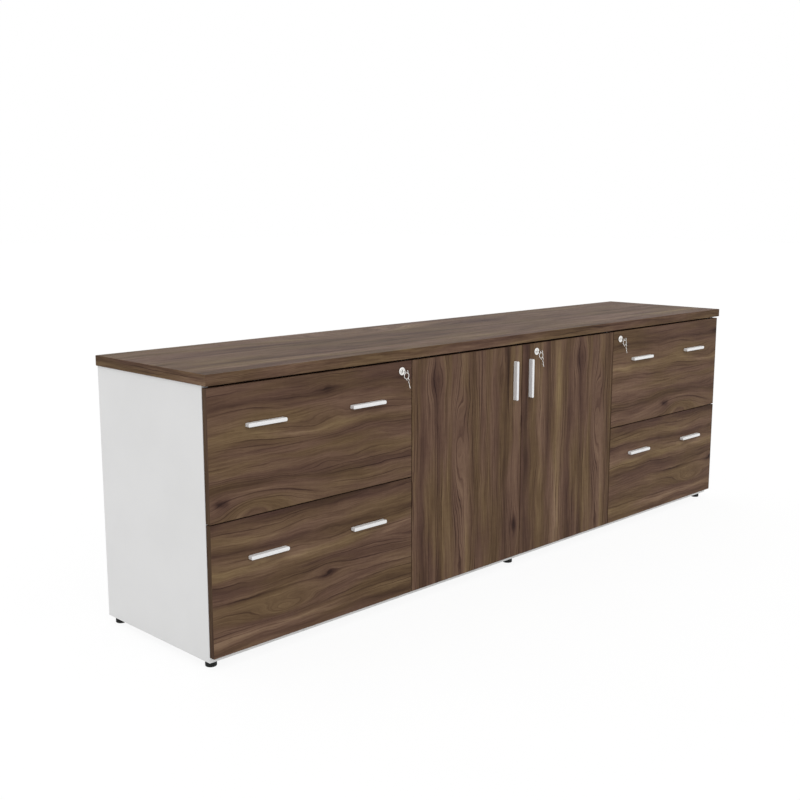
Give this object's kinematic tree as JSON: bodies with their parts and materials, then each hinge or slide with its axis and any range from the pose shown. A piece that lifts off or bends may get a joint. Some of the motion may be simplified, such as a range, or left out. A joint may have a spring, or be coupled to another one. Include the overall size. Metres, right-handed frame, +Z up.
{
  "type": "office credenza",
  "caption": "Long low office credenza: lockable lateral-file drawers at both ends, hinged doors between, walnut-look top and fronts on a white carcass with levelling feet.",
  "frame": {"origin": "bottom centre of the whole object's box, on the floor", "axes": "+Z up, fronts face -Y, +X to the right of someone facing the fronts"},
  "size_m": [2.4, 0.52, 0.75],
  "materials": {
    "walnut_laminate": "matt walnut-look melamine, grain along the drawers and upright on the doors",
    "white_melamine": "matt white melamine",
    "satin_aluminium": "satin",
    "bright_nickel": "bright nickel plate",
    "zinc_steel": "zinc-plated",
    "grey_steel": "grey powder coat",
    "black_plastic": "moulded"
  },
  "bodies": {
    "carcass": {"worktop": "walnut_laminate", "bottom_panel": "white_melamine", "back_panel": "white_melamine", "left_side_panel": "white_melamine", "left_divider": "white_melamine", "right_side_panel": "white_melamine", "right_divider": "white_melamine", "cupboard_shelf": "white_melamine", "left_front_foot": "black_plastic", "left_rear_foot": "black_plastic", "middle_front_foot": "black_plastic", "middle_rear_foot": "black_plastic", "right_front_foot": "black_plastic", "right_rear_foot": "black_plastic", "left_upper_runner_outer": "zinc_steel", "left_upper_runner_inner": "zinc_steel", "left_lower_runner_outer": "zinc_steel", "left_lower_runner_inner": "zinc_steel", "right_upper_runner_outer": "zinc_steel", "right_upper_runner_inner": "zinc_steel", "right_lower_runner_outer": "zinc_steel", "right_lower_runner_inner": "zinc_steel", "left_door_upper_hinge_arm": "bright_nickel", "left_door_lower_hinge_arm": "bright_nickel", "right_door_upper_hinge_arm": "bright_nickel", "right_door_lower_hinge_arm": "bright_nickel"},
    "left_upper_drawer": {"left_upper_drawer_front": "walnut_laminate", "left_upper_drawer_handle_outer": "satin_aluminium", "left_upper_drawer_handle_inner": "satin_aluminium", "left_upper_drawer_box": "grey_steel", "left_drawer_lock_housing": "bright_nickel"},
    "left_lower_drawer": {"left_lower_drawer_front": "walnut_laminate", "left_lower_drawer_handle_outer": "satin_aluminium", "left_lower_drawer_handle_inner": "satin_aluminium", "left_lower_drawer_box": "grey_steel"},
    "right_upper_drawer": {"right_upper_drawer_front": "walnut_laminate", "right_upper_drawer_handle_outer": "satin_aluminium", "right_upper_drawer_handle_inner": "satin_aluminium", "right_upper_drawer_box": "grey_steel", "right_drawer_lock_housing": "bright_nickel"},
    "right_lower_drawer": {"right_lower_drawer_front": "walnut_laminate", "right_lower_drawer_handle_outer": "satin_aluminium", "right_lower_drawer_handle_inner": "satin_aluminium", "right_lower_drawer_box": "grey_steel"},
    "left_door": {"left_door_upper_hinge_cup": "bright_nickel", "left_door_lower_hinge_cup": "bright_nickel", "left_door": "walnut_laminate", "left_door_handle": "satin_aluminium"},
    "right_door": {"right_door_upper_hinge_cup": "bright_nickel", "right_door_lower_hinge_cup": "bright_nickel", "right_door": "walnut_laminate", "right_door_handle": "satin_aluminium", "door_lock_housing": "bright_nickel"},
    "left_drawer_lock": {"left_drawer_lock_plug": "bright_nickel"},
    "left_drawer_key_ring": {"left_drawer_spare_key": "bright_nickel"},
    "right_drawer_lock": {"right_drawer_lock_plug": "bright_nickel"},
    "right_drawer_key_ring": {"right_drawer_spare_key": "bright_nickel"},
    "door_lock": {"door_lock_plug": "bright_nickel"},
    "door_key_ring": {"door_spare_key": "bright_nickel"}
  },
  "joints": [
    {"name": "left_upper_drawer_slide", "type": "slide", "parent": "carcass", "child": "left_upper_drawer", "axis": [0, -1, 0], "range_m": [0, 0.34]},
    {"name": "left_lower_drawer_slide", "type": "slide", "parent": "carcass", "child": "left_lower_drawer", "axis": [0, -1, 0], "range_m": [0, 0.34]},
    {"name": "right_upper_drawer_slide", "type": "slide", "parent": "carcass", "child": "right_upper_drawer", "axis": [0, -1, 0], "range_m": [0, 0.34]},
    {"name": "right_lower_drawer_slide", "type": "slide", "parent": "carcass", "child": "right_lower_drawer", "axis": [0, -1, 0], "range_m": [0, 0.34]},
    {"name": "left_door_hinge", "type": "hinge", "parent": "carcass", "child": "left_door", "pos_m": [-0.49, -0.231, 0.377], "axis": [0, 0, -1], "range_deg": [0, 90]},
    {"name": "right_door_hinge", "type": "hinge", "parent": "carcass", "child": "right_door", "pos_m": [0.49, -0.231, 0.377], "axis": [0, 0, 1], "range_deg": [0, 90]},
    {"name": "left_drawer_lock_turn", "type": "hinge", "parent": "left_upper_drawer", "child": "left_drawer_lock", "pos_m": [-0.5365, -0.235, 0.689], "axis": [0, 1, 0], "range_deg": [0, 90]},
    {"name": "left_drawer_key_swing", "type": "hinge", "parent": "left_drawer_lock", "child": "left_drawer_key_ring", "pos_m": [-0.5365, -0.254, 0.6868], "axis": [-1, 0, 0], "range_deg": [-10, 30]},
    {"name": "right_drawer_lock_turn", "type": "hinge", "parent": "right_upper_drawer", "child": "right_drawer_lock", "pos_m": [0.5365, -0.235, 0.689], "axis": [0, -1, 0], "range_deg": [0, 90]},
    {"name": "right_drawer_key_swing", "type": "hinge", "parent": "right_drawer_lock", "child": "right_drawer_key_ring", "pos_m": [0.5365, -0.254, 0.6868], "axis": [-1, 0, 0], "range_deg": [-10, 30]},
    {"name": "door_lock_turn", "type": "hinge", "parent": "right_door", "child": "door_lock", "pos_m": [0.069, -0.235, 0.689], "axis": [0, 1, 0], "range_deg": [0, 90]},
    {"name": "door_key_swing", "type": "hinge", "parent": "door_lock", "child": "door_key_ring", "pos_m": [0.069, -0.254, 0.6868], "axis": [-1, 0, 0], "range_deg": [-10, 30]}
  ]
}
